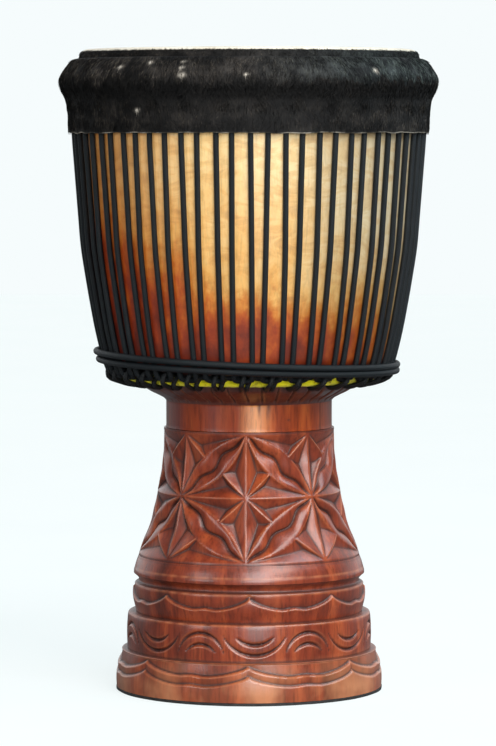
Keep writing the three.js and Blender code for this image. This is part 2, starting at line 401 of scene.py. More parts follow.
stem_colour = ramp(nodes, links, streaks, [(0.25, paint(78, 29, 16)), (0.48, paint(130, 51, 26)),
                                           (0.72, paint(176, 84, 44))])
neck_colour = ramp(nodes, links, noise(nodes, links, where, (1, 1, 0.15), 34, 4, 0.6), [
    (0.28, paint(104, 36, 16)), (0.46, paint(160, 66, 24)), (0.62, paint(204, 104, 44)),
    (0.78, paint(236, 156, 86))])
# The neck's colour is multiplied darker towards its left side: painted shade.
neck_colour = blend_colours(nodes, links, 1.0, neck_colour,
                            ramp(nodes, links, across, [
                                (0.27, paint(168, 130, 120)), (0.40, paint(200, 168, 158)),
                                (0.52, paint(255, 255, 255)), (0.75, paint(244, 240, 236))]),
                            "MULTIPLY")

# A pale, figured stripe runs down the front of the neck: a painted highlight.
highlight_middle = maths(nodes, links, "MULTIPLY", blotches, 0.012)
from_highlight = maths(nodes, links, "ABSOLUTE",
                    maths(nodes, links, "SUBTRACT", place.outputs["X"], highlight_middle))
neck_colour = blend_colours(nodes, links, slide(nodes, links, from_highlight, 0, 0.017, 0.8, 0),
                            neck_colour, paint(242, 158, 82))


def between(low, high):
    """1 where the height lies between two levels in metres, and 0 elsewhere."""
    up = maths(nodes, links, "GREATER_THAN", place.outputs["Z"], low)
    down = maths(nodes, links, "LESS_THAN", place.outputs["Z"], high)
    return maths(nodes, links, "MULTIPLY", up, down)


colour = blend_colours(nodes, links, between(NECK_TOP * MM, 1.0), stem_colour, bowl_colour)
# The underside of the bowl is painted dark red-brown: its stain, darkened further as painted shade.
colour = blend_colours(nodes, links, between(NECK_TOP * MM - 0.0002, 0.312), colour,
                       paint(92, 44, 33))
colour = blend_colours(nodes, links, between(NECK_FOOT * MM - 0.0002, NECK_TOP * MM), colour,
                       neck_colour)
hair_lines = ramp(nodes, links, fibres, [(0.38, 0.42), (0.50, 1.0)])
on_stem = maths(nodes, links, "LESS_THAN", place.outputs["Z"], 0.312)
colour = blend_colours(nodes, links, maths(nodes, links, "MULTIPLY_ADD", on_stem, 0.33, 0.22),
                       colour, hair_lines, "MULTIPLY")
# Pale blotches low on the foot are a painted highlight.
low_down = slide(nodes, links, place.outputs["Z"], 0.045, 0.012, 0.0, 0.75)
highlight_blotches = ramp(nodes, links, blotches, [(0.42, 0.15), (0.6, 1.0)])
colour = blend_colours(nodes, links, maths(nodes, links, "MULTIPLY", low_down, highlight_blotches), colour,
                       paint(204, 138, 96))
# The carving attribute paints hollows dark, partly as stain and partly as painted shade, and raised
# edges pale, partly as wear and partly as painted highlight.
colour = blend_colours(nodes, links, maths(nodes, links, "MULTIPLY", dark, 0.85), colour,
                       paint(38, 16, 13))
colour = blend_colours(nodes, links, maths(nodes, links, "MULTIPLY", worn_and_lit, 0.6), colour,
                       paint(200, 124, 82))
links.new(colour, shader.inputs["Base Color"])
gloss = maths(nodes, links, "MULTIPLY_ADD", on_stem, -0.2,
              maths(nodes, links, "MULTIPLY_ADD", fibres, 0.2, 0.42))
links.new(maths(nodes, links, "MULTIPLY_ADD", dark, 0.35, gloss), shader.inputs["Roughness"])
shader.inputs["Coat Weight"].default_value = 0.3
shader.inputs["Coat Roughness"].default_value = 0.2
relief(nodes, links, shader, fibres, 0.0003, 0.5)

wood_bowl = add_piece("wood_bowl", wood, bowl_mesh)
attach(wood_bowl, "drum")
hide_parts("shell")

# ---------------------------------------------------------------------------------------------
# The stem below the neck is chip carved: four eight-pointed stars stand between four crosses of
# long leaves, each leaf split by a wavy gouge line. Every pit is three knife cuts that meet at
# its deepest point, and the ridges between pits are what is left of the turned surface.
# ---------------------------------------------------------------------------------------------
STEM_TOP, STEM_FOOT = 254.9, 130.65
STAR_HEIGHT, STAR_REACH, STAR_ANGLE, STAR_TURN = 192.8, 59.8, 45.0, -2.0
LEAF_BELLY = 0.29
LEAF_DEPTH, LEAF_EDGE, EDGE_FROM = 4.6, 0.9, 0.62
GOUGE_WAVE, GOUGE_DEPTH, GOUGE_R = 0.06, 1.3, 1.6
STAR_WIDTH = 46.0


def star_lines(x, y):
    """Signed distances, in star widths, from each line that the carver marks out on a quarter
    star: its arms, the two curved sides of the leaf from its tip (0, 1) to the next star's
    side (1, 0), and the far star's arms. A leaf side bows out as a parabola."""
    along = (x + 1 - y) / 2
    across = x + y - 1
    belly = LEAF_BELLY * 4 * along * (1 - along)
    return {"upright": x, "level": y, "over_arm": y - 1.1 * x, "under_arm": 1.1 * x - y,
            "leaf_near": -across - belly, "leaf_far": across - belly, "border": 1 - y,
            "far_upright": 1 - x, "over_far_arm": y - x, "under_far_arm": x - y}


PITS = (  # the three sides of each pit, its deepest point, and its depth there
    (("upright", "over_arm", "leaf_near"), (0.166, 0.40), 7.0),
    (("level", "under_arm", "leaf_near"), (0.27, 0.185), 6.5),
    (("border", "over_far_arm", "leaf_far"), (0.75, 0.82), 5.0),
    (("far_upright", "under_far_arm", "leaf_far"), (0.87, 0.52), 6.0),
)


def chip_carving(angle, height):
    """Depth of the whole pattern at each angle and height, from one quarter star mirrored and
    repeated. A pit's depth is the least of its distances from its three sides, each as a share
    of the same distance at its deepest point, and its square root beside a leaf, where the wall
    is steep. A leaf's halves swell from its edges and fall to a V along its wavy middle."""
    angle, height = np.broadcast_arrays(angle, height)
    turned = (angle - STAR_TURN) / STAR_ANGLE
    x = np.abs(np.mod(turned + 1, 2) - 1)
    raised = (height - STAR_HEIGHT) / STAR_REACH
    y = np.abs(raised)
    here = star_lines(x, y)
    depth = 0
    for sides, deepest, most in PITS:
        bottom = star_lines(*deepest)
        share = np.minimum.reduce([
            np.clip(here[side] / bottom[side], 0, None) ** (0.5 if "leaf" in side else 1)
            for side in sides])
        depth = depth + most * share
    along, across = (x + 1 - y) / 2, x + y - 1
    belly = np.clip(LEAF_BELLY * 4 * along * (1 - along), 1e-4, None)
    leaf = (np.abs(across) < belly) & (along > 0) & (along < 1)
    phase = 0.31 * np.floor(turned) + 0.23 * np.sign(raised)
    wave = GOUGE_WAVE * np.sin(2 * np.pi * (2.5 * along + phase)) * belly / LEAF_BELLY
    side = np.where(across > wave, belly - wave, belly + wave)
    share = np.clip(np.abs(across - wave) / side, 0, 1)
    edge = LEAF_EDGE * np.clip((share - EDGE_FROM) / (1 - EDGE_FROM), 0, 1) ** 2
    swell = LEAF_DEPTH * (1 - share) ** 1.6 + edge
    gouge = GOUGE_DEPTH * np.exp(-(STAR_WIDTH * (across - wave) / GOUGE_R) ** 2)
    pillow = (swell + gouge) * np.clip(belly / 0.14, 0, 1)
    return np.where(y < 1, np.where(leaf, pillow, depth), 0)


stem_face = smooth_line([(82.6, STEM_TOP), (83, 242), (83.2, 233), (84.4, 223), (85.4, 213),
                         (87.2, 204), (88.8, 194), (90.7, 184), (93.1, 175), (95.2, 165),
                         (98.6, 155), (102.8, 145.5), (106, 136.4), (107.3, STEM_FOOT)],
                        0.95)[::-1]
stem_outline = outline_of(
    stem_face,
    np.array([(82.6, STEM_TOP), (71, STEM_TOP), (60, STEM_TOP)]),
    smooth_line([(60, STEM_TOP), (69, 192), (78, STEM_FOOT)], 15),
    np.array([(78, STEM_FOOT), (93, STEM_FOOT), (107.3, STEM_FOOT)]),
)
stem_angle = np.linspace(0, 360, 640, endpoint=False)
radius, height = (stem_outline[:, k, None] for k in (0, 1))
on_face = (np.arange(len(stem_outline)) < len(stem_face))[:, None]
depth = chip_carving(stem_angle, height) * on_face
stem_mesh = woven_mesh("wood_stem", about_axis(radius - depth, height, stem_angle), crease=50)


def rub_and_shade(mesh, depth, grime=0, wear_and_light=0):
    """Marks a carved mesh: what stands above its near neighbours is painted pale, partly as wear
    and partly as painted highlight, and what lies below them, near or far, is painted dark,
    partly as stain and partly as painted shade. grime adds to the dark, and the last argument
    adds to the pale."""
    near, far = spread(depth, 2), spread(depth, 9)
    worn_and_lit = np.clip((near - depth - 0.15) / 0.9, 0, 1)
    dark = np.clip((depth - near - 0.08) / 0.5, 0, 1) + np.clip((depth - far) / 4, 0, 0.5)
    marks(mesh, np.clip(worn_and_lit + wear_and_light, 0, 1), np.clip(dark + grime, 0, 1))


border = (np.exp(-((height - (STEM_TOP - 0.7)) / 0.7) ** 2)
          + np.exp(-((height - (STEM_FOOT + 0.55)) / 0.9) ** 2))
rub_and_shade(stem_mesh, depth, 0.7 * border * on_face)
wood_stem = add_piece("wood_stem", wood, stem_mesh)
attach(wood_stem, "drum")
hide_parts("shell")

# ---------------------------------------------------------------------------------------------
# The foot of the shell: a turned ring moulding, then three stepped bands. The first and last are
# scooped out above a line of hanging swags, and the middle one has pairs of crescents gouged in
# it, smiling and frowning by turns.
# ---------------------------------------------------------------------------------------------
FOOT_TOP, FOOT_FLOOR = 130.4, 2.9
BAND_1_TOP, BAND_2_TOP, BAND_3_TOP = 103.2, 74.6, 38.6
BAND_2_R = 118.4
WALL = 2.1
REPEATS = 7
# The crescents of one repeat: where its middle is, whether they rise (1) or hang (-1), and each
# one's half width, the height of its tip and its radius.
CRESCENTS = ((2.7, -1, ((30.7, 46.5, 33.8), (18, 56.4, 25.4))),
             (28.4, 1, ((24.2, 67, 24.2), (15.5, 56.4, 19))))
GOUGE_HALF, GOUGE_DEEP = 2.5, 2.7


def swag(angle, lobes, first):
    """Drop of a hanging swag line at an angle, 0 at its cusps and about 1 in its belly, which
    has a small lift in its middle."""
    along = np.mod((angle - first) * lobes / 360, 1)
    return np.sin(np.pi * along) ** 0.6 - 0.17 * np.exp(-((along - 0.5) / 0.1) ** 2)


def crescent(across, height, half_width, tip_height, arc_r, rises):
    """Depth of a crescent gouge on an arc that peaks at tip_height: a V that is widest at its
    middle and runs out at half_width to each side."""
    centre = tip_height - rises * arc_r
    distance = np.abs(np.hypot(across, height - centre) - arc_r)
    reach = np.clip(1 - (across / half_width) ** 2, 0, 1)
    on_arc = (np.sign(height - centre) == rises) & (reach > 0)
    half = GOUGE_HALF * np.sqrt(reach) + 1e-6
    return on_arc * GOUGE_DEEP * np.sqrt(reach) * np.clip(1 - distance / half, 0, 1)


def wander(angle, seed, size, slowest=2, fastest=40):
    """A hand-made unevenness round the drum: sine waves of whole turns, each with its own start
    and less height the shorter it is."""
    chance = np.random.default_rng(seed)
    total = 0
    for waves in range(slowest, fastest + 1):
        total = total + np.sin(np.radians(angle) * waves + chance.uniform(0, 2 * np.pi)) \
            / np.sqrt(waves)
    return size * total / 1.6


def foot_carving(angle, height):
    """Depth of all three bands' carving at each angle and height. The first and third are a
    scoop that deepens down to its swag line, the third with a second scoop below that fades
    out downwards. Each cut's wall slopes over WALL, so its foot and its lip follow the line."""
    line = 99.6 - 13.2 * swag(angle, 8, 0)
    scoop = 0.6 + 2.8 * (BAND_1_TOP - height) / (BAND_1_TOP - line)
    depth = np.clip((height - line) / WALL, 0, 1) * (height < BAND_1_TOP + 0.1) * scoop
    line = 36.2 - 11.4 * swag(angle, REPEATS, -0.4)
    lower = line - 9.0
    scoop = 1.0 + 2.2 * (BAND_3_TOP - height) / (BAND_3_TOP - line)
    depth += np.clip((height - line) / WALL, 0, 1) * (height < BAND_3_TOP) * scoop
    fall = np.clip((line - height) / (line - lower), 0, 1)
    wall = np.clip((height - lower) / WALL, 0, 1)
    depth += wall * (height <= line) * 2.6 * fall ** 1.2
    around = np.radians(1) * BAND_2_R
    tile = 360 / REPEATS
    plain = (height < BAND_2_TOP - 0.6) & (height > BAND_3_TOP + 1.2)
    for middle, rises, arcs in CRESCENTS:
        across = (np.mod(angle - middle + tile / 2, tile) - tile / 2) * around
        for half_width, tip_height, arc_r in arcs:
            depth += plain * crescent(across, height, half_width, tip_height, arc_r, rises)
    return depth


foot_face = outline_of(
    smooth_line([(129.2, FOOT_FLOOR), (129.5, 10), (129.2, 17), (128.4, 24), (127, 30),
                 (124.6, 37.6)], 0.9),
    smooth_line([(124.6, 37.6), (123.9, 39), (122.6, 39.7), (118.5, 40)], 1.2),
    smooth_line([(118.5, 40), (118.9, 50), (118.9, 60), (118.3, 70), (117.8, 73.8)], 0.9),
    smooth_line([(117.8, 73.8), (117.2, 75), (115.6, 75.4), (110, 75.8)], 1.3),
    smooth_line([(110, 75.8), (111.4, 82), (112.8, 88), (113.3, 94), (112.8, 100),
                 (111.9, BAND_1_TOP)], 0.9),
    smooth_line([(111.9, BAND_1_TOP), (109.6, 104.3), (107.4, 105.4), (107.3, 108),
                 (109.6, 111), (112.2, 113.2)], 1.3),
    smooth_line([(112.2, 113.2), (112.1, 116), (111.3, 118.8)], 1.4),
    smooth_line([(111.3, 118.8), (109.6, 124.6), (107.4, FOOT_TOP)], 1.7),
)
foot_outline = outline_of(
    np.vstack([foot_face, [(107.4, FOOT_TOP)]]),
    np.array([(107.4, FOOT_TOP), (92, FOOT_TOP), (78, FOOT_TOP)]),
    smooth_line([(78, FOOT_TOP), (86, 96), (96, 60), (106, 28), (114, FOOT_FLOOR)], 12),
    np.array([(114, FOOT_FLOOR), (122, FOOT_FLOOR), (129.2, FOOT_FLOOR)]),
)
foot_angle = np.linspace(0, 360, 516, endpoint=False)
radius, height = (foot_outline[:, k, None] for k in (0, 1))
on_face = (np.arange(len(foot_outline)) < len(foot_face))[:, None]
depth = foot_carving(foot_angle, height) * on_face
foot_mesh = woven_mesh("wood_foot", about_axis(radius - depth, height, foot_angle), crease=50)

# The inner corners over the steps are painted darker, given by height, reach and strength; the one
# under the ring moulding is painted shadow. The outer lips of the steps and of the moulding are
# painted pale, more here and less there, partly as wear and partly as painted highlight.
CORNERS = ((40.2, 1.0, 0.8), (76, 1.0, 0.8), (105, 1.5, 1.0), (129.8, 0.9, 0.6))
LIPS = (38.4, 74.4, 102.6, 118.6)
corners = sum(weight * np.exp(-((height - level) / reach) ** 2)
              for level, reach, weight in CORNERS)
lips = sum(np.exp(-((height - level) / 0.9) ** 2) for level in LIPS)
lips = lips * (0.55 + wander(foot_angle, 8, 0.3, 20, 70))
rub_and_shade(foot_mesh, depth, corners * on_face, lips * on_face)
wood_foot = add_piece("wood_foot", wood, foot_mesh)
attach(wood_foot, "drum")
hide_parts("shell")

# ---------------------------------------------------------------------------------------------
# A strip of black inner-tube rubber is glued under the foot to keep the end grain off the floor.
# It is cut by hand, so its edges wander.
# ---------------------------------------------------------------------------------------------
RUBBER, BEVEL = 2.6, 0.4
strip_angle = np.arange(360)
strip_out = 129.5 + wander(strip_angle, 5, 0.25)
strip_in = 118 + wander(strip_angle, 6, 0.8)
strip_points = np.stack([about_axis(r, z, strip_angle) for r, z in (
    (strip_in, 0.25), (strip_in + 0.3, 0), (strip_out - BEVEL, 0), (strip_out, BEVEL),
    (strip_out, RUBBER - BEVEL), (strip_out - BEVEL, RUBBER), (strip_in + 0.3, RUBBER),
    (strip_in, RUBBER - 0.3))])
tyre, nodes, links, shader = new_material("black_rubber")
where = node(nodes, "ShaderNodeTexCoord").outputs["Object"]
scuffs = noise(nodes, links, where, (1, 1, 3), 160, 4, 0.6)
links.new(ramp(nodes, links, scuffs, [(0.35, paint(20, 21, 22)), (0.65, paint(46, 46, 45))]),
          shader.inputs["Base Color"])
shader.inputs["Roughness"].default_value = 0.75
relief(nodes, links, shader, scuffs, 0.0004)
foot_strip = add_piece("foot_strip_rubber", tyre, woven_mesh("foot_strip_rubber", strip_points,
                                                             crease=40))
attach(foot_strip, "drum")
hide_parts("foot_strip")

# ---------------------------------------------------------------------------------------------
# The ropes are black braided polyester. One long rope zigzags up and down the bowl through the
# loops on the two rings, and its spare end takes two turns round the bowl over the legs before a
# knot stops it behind. It is pulled hard, so every leg lies straight on the wood.
# ---------------------------------------------------------------------------------------------
PAIRS = 32
PITCH = 360 / PAIRS
TOP_HOOK, LOW_HOOK = 3.3, 3.3 - PITCH / 2
TOP_SPREAD, LOW_SPREAD = 2.65, 2.15
ROPE_R = 2.7
TAIL_R = 3.1
# Radius and height where the rope turns in the upper and lower loops, and where it leaves the
# lower one for the bowl.
TOP_TURN, LOW_TURN, LOW_BEND = (169.4, 563.0), (131.5, 307.8), (136.6, 311.6)
BOWL_SIDE = np.array([(119, 316.4), (130, 317.4), (137.7, 323.5), (142.9, 344), (151.2, 388),
                      (157.9, 432), (164.7, 519), (166.2, 540)])


def weld(mesh):
    """Merges the points that a pole repeats, and drops the faces this leaves without area."""
    shape = bmesh.new()
    shape.from_mesh(mesh)
    bmesh.ops.remove_doubles(shape, verts=shape.verts, dist=1e-6)
    shape.to_mesh(mesh)
    shape.free()


def tube(name, line, outward, radius, sides):
    """A round tube along a line of points. Its section turns with the outward directions: at
    each point the first side is what is left of them square to the line. Each end has a
    smaller turn and a point. Its UV is length in millimetres by share of a turn."""
    direction = np.gradient(line, axis=0)
    direction /= np.linalg.norm(direction, axis=1, keepdims=True)
    size = np.r_[0, 0.8 * radius, np.full(len(line), float(radius)), 0.8 * radius, 0]
    inset = radius * direction[[0, -1]]
    line = np.vstack([line[:1] - 0.9 * inset[:1], line[:1] - 0.6 * inset[:1], line,
                      line[-1:] + 0.6 * inset[1:], line[-1:] + 0.9 * inset[1:]])
    direction = direction[np.r_[0, 0, :len(direction), -1, -1]]
    outward = outward[np.r_[0, 0, :len(outward), -1, -1]]
    first = outward - direction * np.sum(outward * direction, axis=1, keepdims=True)
    first /= np.linalg.norm(first, axis=1, keepdims=True)
    second = np.cross(direction, first)
    turn = np.arange(sides) * (2 * np.pi / sides)
    points = line[:, None] + size[:, None, None] * (
        np.cos(turn)[:, None] * first[:, None] + np.sin(turn)[:, None] * second[:, None])
    steps = np.linalg.norm(np.diff(line, axis=0), axis=1)
    length = np.r_[0, np.cumsum(steps)]
    mesh = woven_mesh(name, points, closed=(False, True),
                      uv=(length, np.arange(sides + 1) / sides))
    weld(mesh)
    return mesh


def from_axis(line):
    """Unit directions from the drum's axis out to each point of a line."""
    outward = line * (1, 1, 0)
    return outward / np.linalg.norm(outward, axis=1, keepdims=True)


def rope_finish(name, dark_paint, pale_paint, plaits, pitch):
    """Braided polyester: plaits of yarn cross both ways round the rope, each lay a run of
    rounded stitches, with some dust on its crowns."""
    made, nodes, links, shader = new_material(name)
    split = node(nodes, "ShaderNodeSeparateXYZ")
    links.new(node(nodes, "ShaderNodeTexCoord").outputs["UV"], split.inputs["Vector"])
    around = maths(nodes, links, "MULTIPLY", split.outputs["Y"], plaits)
    lays = []
    for way in ("ADD", "SUBTRACT"):
        turn = maths(nodes, links, way,
                     maths(nodes, links, "MULTIPLY", split.outputs["X"], 1 / pitch), around)
        wave = maths(nodes, links, "SINE", maths(nodes, links, "MULTIPLY", turn, math.pi))
        lays.append(maths(nodes, links, "ABSOLUTE", wave))
    braid = maths(nodes, links, "MULTIPLY", *lays)
    where = node(nodes, "ShaderNodeTexCoord").outputs["Object"]
    dust = noise(nodes, links, where, (1, 1, 1), 90, 4, 0.6)
    # The crowns of the stitches are painted paler and bluish, flecked by the dust: a painted
    # highlight.
    crown = maths(nodes, links, "MULTIPLY", braid, maths(nodes, links, "ADD", dust, 0.25))
    links.new(ramp(nodes, links, crown, [(0.05, dark_paint), (0.75, pale_paint)]),
              shader.inputs["Base Color"])
    shader.inputs["Roughness"].default_value = 0.5
    shader.inputs["Specular IOR Level"].default_value = 0.3
    relief(nodes, links, shader, braid, 0.0006, 0.8)
    return made


rope_black = rope_finish("black_braided_rope", paint(3, 6, 8), paint(20, 31, 37), 5, 2.6)

chance = np.random.default_rng(11)


def on_bowl(height):
    """Radius of a rope's middle where it lies on the bowl at a height."""
    return np.interp(height, BOWL_SIDE[:, 1], BOWL_SIDE[:, 0]) + 2.9


def cylinder_points(rows):
    """Points from (radius, height, angle) rows."""
    rows = np.array(rows, float)
    return about_axis(rows[:, 0], rows[:, 1], rows[:, 2])


leg_heights = np.array([326, 350, 375, 400, 430, 460, 500, 538.0])
leg_share = (leg_heights - leg_heights[0]) / np.ptp(leg_heights)
route = [(*LOW_TURN, LOW_HOOK + 180.7)]
for k in range(PAIRS):
    pair = TOP_HOOK + 180 + PITCH * k
    sway = chance.uniform(-0.22, 0.22, 4)
    low = PITCH / 2
    route += [(*LOW_TURN, pair - low + 2.5), (*LOW_BEND, pair - low + 3.5 + sway[0])]
    spread_angle = LOW_SPREAD + (TOP_SPREAD - LOW_SPREAD) * leg_share
    up = pair - spread_angle + sway[0] + (sway[1] - sway[0]) * leg_share
    route += list(zip(on_bowl(leg_heights), leg_heights, up))
    r, z = TOP_TURN
    route += [(r, z - 3.2, pair - 2.5), (r, z, pair - 1.5), (r, z, pair + 1.5),
              (r, z - 3.2, pair + 2.5)]
    down = pair + spread_angle + sway[2] + (sway[3] - sway[2]) * leg_share
    route += list(zip(on_bowl(leg_heights), leg_heights, down))[::-1]
    route += [(*LOW_BEND, pair + low - 3.5 + sway[2]), (*LOW_TURN, pair + low - 2.5)]
route.append((*LOW_TURN, LOW_HOOK + 360 + 179.3))
line = smooth_line(cylinder_points(route), 9)
tuning_rope = add_piece("tuning_rope_braid", rope_black,
                        tube("tuning_rope_braid", line, from_axis(line), ROPE_R, 10))
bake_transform(tuning_rope)
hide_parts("tuning_rope")

# The spare end's two turns start and end behind, and both slope down towards the right.
TURN_END = 540
angle = np.arange(184, 896.1, 4)
first_turn = angle <= TURN_END
tilt = np.radians(np.minimum(np.where(first_turn, angle, angle - 360), 450))
height = np.where(first_turn, 322.5 - 6.5 * np.sin(tilt), 316 - 5.5 * np.sin(tilt))
radius = np.maximum(LOW_BEND[0] + 0.33 * (height - LOW_BEND[1]) + 5.8, 143.4)
line = about_axis(radius, height, angle)
tail_rope = add_piece("tail_rope_braid", rope_black,
                      tube("tail_rope_braid", line, from_axis(line), TAIL_R, 12))
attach(tail_rope, "drum")
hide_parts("tail_rope")

# The knot is an overhand knot, which is an open trefoil.
KNOT_SIZE, KNOT_Y, KNOT_Z = 3.4, 153.4, 316
t = np.linspace(0.25, 2 * np.pi - 0.25, 90)
line = np.stack([KNOT_SIZE * (np.sin(t) + 2 * np.sin(2 * t)), KNOT_Y - 2.4 * np.sin(3 * t),
                 KNOT_Z + KNOT_SIZE * (np.cos(t) - 2 * np.cos(2 * t))], axis=-1)
bend = np.gradient(np.gradient(line, axis=0), axis=0)
tail_knot = add_piece("tail_knot_braid", rope_black, tube("tail_knot_braid", line, bend, 2.3, 12))
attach(tail_knot, "drum")
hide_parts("tail_knot")

# ---------------------------------------------------------------------------------------------
# Two rings of round steel bar hold the rope's loops: the crown ring in the folded hide and the
# bottom ring under the bowl, both wound with strips of yellow cotton. A bare third one, the
# flesh ring, is lapped in the hide. Each is rolled and welded.
# ---------------------------------------------------------------------------------------------
# Radius and height of each ring's middle line, and the radii of its bar and of its cloth.
RINGS = {"crown": (173.9, 591.0, 3.2, 4.25), "bottom": (119.0, 305.0, 3.0, 3.95)}
FLESH_R, FLESH_Z, FLESH_BAR = 167.9, 578.0, 2.75


def round_the_ring(ring_r, ring_z, size, angle, turn):
    """Points at a size out from a ring's middle line, at a turn round its section."""
    return about_axis(ring_r + size * np.cos(turn), ring_z + size * np.sin(turn), angle)


steel, nodes, links, shader = new_material("dull_steel")
where = node(nodes, "ShaderNodeTexCoord").outputs["Object"]
scale_marks = noise(nodes, links, where, (1, 1, 1), 130, 5, 0.65)
links.new(ramp(nodes, links, scale_marks, [(0.35, paint(98, 72, 52)), (0.5, paint(128, 126, 122)),
                                           (0.7, paint(160, 160, 158))]),
          shader.inputs["Base Color"])
links.new(ramp(nodes, links, scale_marks, [(0.35, 0.3), (0.5, 1.0)]), shader.inputs["Metallic"])
shader.inputs["Roughness"].default_value = 0.42
relief(nodes, links, shader, scale_marks, 0.0003)

yellow, nodes, links, shader = new_material("yellow_cotton")
split = node(nodes, "ShaderNodeSeparateXYZ")
links.new(node(nodes, "ShaderNodeTexCoord").outputs["UV"], split.inputs["Vector"])
weave = []
for axis, count in (("X", 900), ("Y", 22)):
    wave = maths(nodes, links, "SINE", maths(nodes, links, "MULTIPLY", split.outputs[axis],
                                             2 * math.pi * count))
    weave.append(maths(nodes, links, "MULTIPLY_ADD", wave, 0.5, 0.5))
woven = maths(nodes, links, "MULTIPLY", *weave)
where = node(nodes, "ShaderNodeTexCoord").outputs["Object"]
grime = noise(nodes, links, where, (1, 1, 1), 150, 4, 0.65)
links.new(ramp(nodes, links, grime, [(0.30, paint(176, 160, 10)), (0.42, paint(255, 240, 10)),
                                     (0.75, paint(255, 252, 40))]),
          shader.inputs["Base Color"])
shader.inputs["Roughness"].default_value = 0.92
shader.inputs["Sheen Weight"].default_value = 0.25
relief(nodes, links, shader, woven, 0.0004, 0.6)

# The cloth is wound in laps, each with a loose edge. Its section is nearly a full turn, and the
# slit is on the inner side, where the lap ends are tucked in.
LAPS = 96
SIDES = 24
ring_angle = np.arange(720) * 0.5
turns = np.radians(np.arange(SIDES) * 360 / SIDES)[:, None]
arc = np.radians(np.linspace(-170, 170, SIDES))[:, None]
for ring, (ring_r, ring_z, bar, sleeve) in RINGS.items():
    body = "crown" if ring == "crown" else "drum"
    points = round_the_ring(ring_r, ring_z, bar, ring_angle[::3], -turns[::2])
    bar_piece = add_piece(ring + "_ring_bar", steel, woven_mesh(ring + "_ring_bar", points[::-1]))
    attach(bar_piece, body)
    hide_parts(ring + "_ring")
    lap = np.mod(ring_angle * LAPS / 360 + arc / (2 * np.pi) * 2, 1)
    slack = 0.22 * lap + 0.1 * np.sin(7 * arc + np.radians(ring_angle) * 61)
    outside = round_the_ring(ring_r, ring_z, sleeve + slack, ring_angle, arc)
    inside = round_the_ring(ring_r, ring_z, bar + 0.25, ring_angle, arc[::-1])
    points = np.vstack([outside, inside])
    uv = (np.arange(len(points) + 1) / SIDES, np.linspace(0, 1, len(ring_angle) + 1))
    wrap = add_piece(ring + "_ring_cloth", yellow,
                     woven_mesh(ring + "_ring_cloth", points, uv=uv, crease=60))
    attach(wrap, body)
    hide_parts(ring + "_ring_wrap")

points = round_the_ring(FLESH_R, FLESH_Z, FLESH_BAR, ring_angle[::3], turns[::2])
flesh_ring = add_piece("flesh_ring_bar", steel, woven_mesh("flesh_ring_bar", points))
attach(flesh_ring, "crown")
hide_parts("flesh_ring")

# ---------------------------------------------------------------------------------------------
# The cradle ropes: one length of thinner black braid is hitched round each ring thirty-two times.
# Each hitch leaves a loop that the tuning rope turns back through, and between two hitches the
# rope swags along the ring, so the yellow shows under it.
# ---------------------------------------------------------------------------------------------
rope_fine = rope_finish("fine_black_braid", paint(7, 9, 10), paint(26, 31, 34), 4, 2.3)
LOW_BRAID_R, TOP_BRAID_R = 2.35, 1.35
around = [(118, 311.8), (112.3, 308.2), (112.3, 301.8), (118.2, 298.4)]
reach = [(135, 303.2, -0.7), (137.6, 308, 0), (134.5, 313.2, 0.7)]
hitch = [(125.3, 309.4, -3.5), *[(r, z, -1.3) for r, z in around], *reach,
         *[(r, z, 1.3) for r, z in around], (126.2, 302, 1.6), (125.3, 309.4, 3.5)]
route = [(r, z, LOW_HOOK + 180 + PITCH * k + turn) for k in range(PAIRS) for r, z, turn in hitch]
line = smooth_line(cylinder_points(route), 3.2)
ring_r, ring_z = RINGS["bottom"][:2]
ring_line = from_axis(line) * ring_r + (0, 0, ring_z)
bottom_loops = add_piece("bottom_loops_braid", rope_fine,
                         tube("bottom_loops_braid", line, line - ring_line, LOW_BRAID_R, 8))
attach(bottom_loops, "drum")
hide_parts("bottom_loops")

ring_r, ring_z = RINGS["crown"][:2]
over = [(ring_r + 6.6 * math.cos(a), ring_z + 6.6 * math.sin(a))
        for a in (math.pi, 2 * math.pi / 3, math.pi / 3, 0)]
r, z = TOP_TURN
hook = [(r + 4.7, z + 14), (r + 4.6, z + 4), (r + 3.6, z - 4.3), (r - 4, z - 4.2),
        (r - 4.3, z + 3.2), (r + 0.6, z + 5.6), (r + 4.7, z + 14)]
up = [(171.2, 584, -2.6), *[(r, z, -0.65) for r, z in over]]
through = [(r, z, -0.65 + 1.3 * i / 6) for i, (r, z) in enumerate(hook)]
back = [(r, z, -turn) for r, z, turn in up[::-1]]
route = [(r, z, TOP_HOOK + 180 + PITCH * k + turn)
         for k in range(PAIRS) for r, z, turn in up + through + back]
line = smooth_line(cylinder_points(route), 3.4)
ring_line = from_axis(line) * ring_r + (0, 0, ring_z - 6)
crown_loops = add_piece("crown_loops_braid", rope_fine,
                        tube("crown_loops_braid", line, line - ring_line, TOP_BRAID_R, 6))
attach(crown_loops, "crown")
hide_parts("crown_loops")

